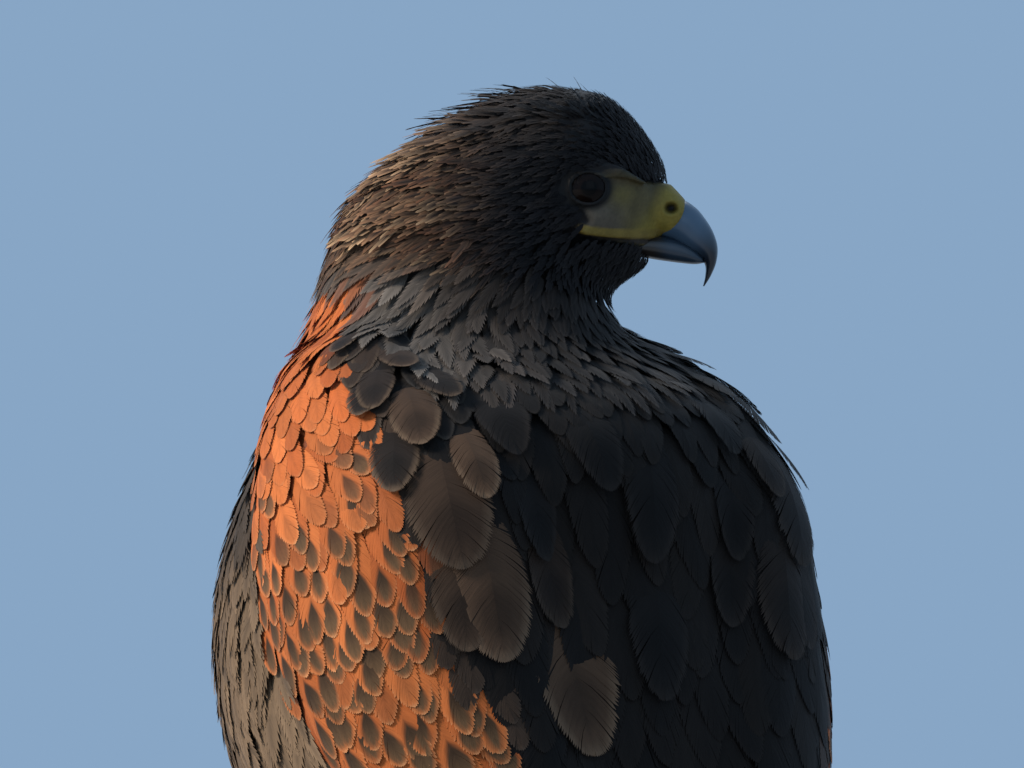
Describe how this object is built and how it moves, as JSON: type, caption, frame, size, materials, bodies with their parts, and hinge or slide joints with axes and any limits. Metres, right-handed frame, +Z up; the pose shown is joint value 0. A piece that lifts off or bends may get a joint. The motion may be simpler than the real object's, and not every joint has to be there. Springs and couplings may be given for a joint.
{
  "type": "harris hawk",
  "caption": "Life-size still model of a Harris hawk standing upright, wings folded, looking back over its right shoulder.",
  "frame": {"origin": "middle of the base of the bounding box, on the surface that the bird stands on", "axes": "+Z up, -Y the way the breast and feet face, +X the bird's left side"},
  "size_m": [0.1832, 0.298, 0.4464],
  "materials": {
    "head_feather": "matt near-black brown feathers",
    "neck_feather": "matt dark brown feathers with pale tips",
    "body_feather": "matt dark brown feathers with pale fringes",
    "thigh_feather": "matt rufous feathers",
    "wing_feather": "satin dark brown feathers, rufous at the shoulder",
    "tail_feather": "satin black feathers with white base and tip",
    "bill_horn": "satin blue-grey horn, darker at the tip",
    "cere_skin": "smooth yellow skin",
    "eye": "wet dark brown eye",
    "leg_skin": "scaled yellow skin",
    "claw_horn": "glossy black horn"
  },
  "bodies": {
    "root": {"bill_lower": "bill_horn", "bill_upper": "bill_horn", "cere": "cere_skin", "claw_hind_left": "claw_horn", "claw_hind_right": "claw_horn", "claw_inner_left": "claw_horn", "claw_inner_right": "claw_horn", "claw_middle_left": "claw_horn", "claw_middle_right": "claw_horn", "claw_outer_left": "claw_horn", "claw_outer_right": "claw_horn", "eye_left": "eye", "eye_right": "eye", "foot_left": "leg_skin", "foot_right": "leg_skin", "head": "head_feather", "neck": "neck_feather", "tail": "tail_feather", "tarsus_left": "leg_skin", "tarsus_right": "leg_skin", "thigh_left": "thigh_feather", "thigh_right": "thigh_feather", "trunk": "body_feather", "wing_left": "wing_feather", "wing_right": "wing_feather"}
  },
  "joints": []
}
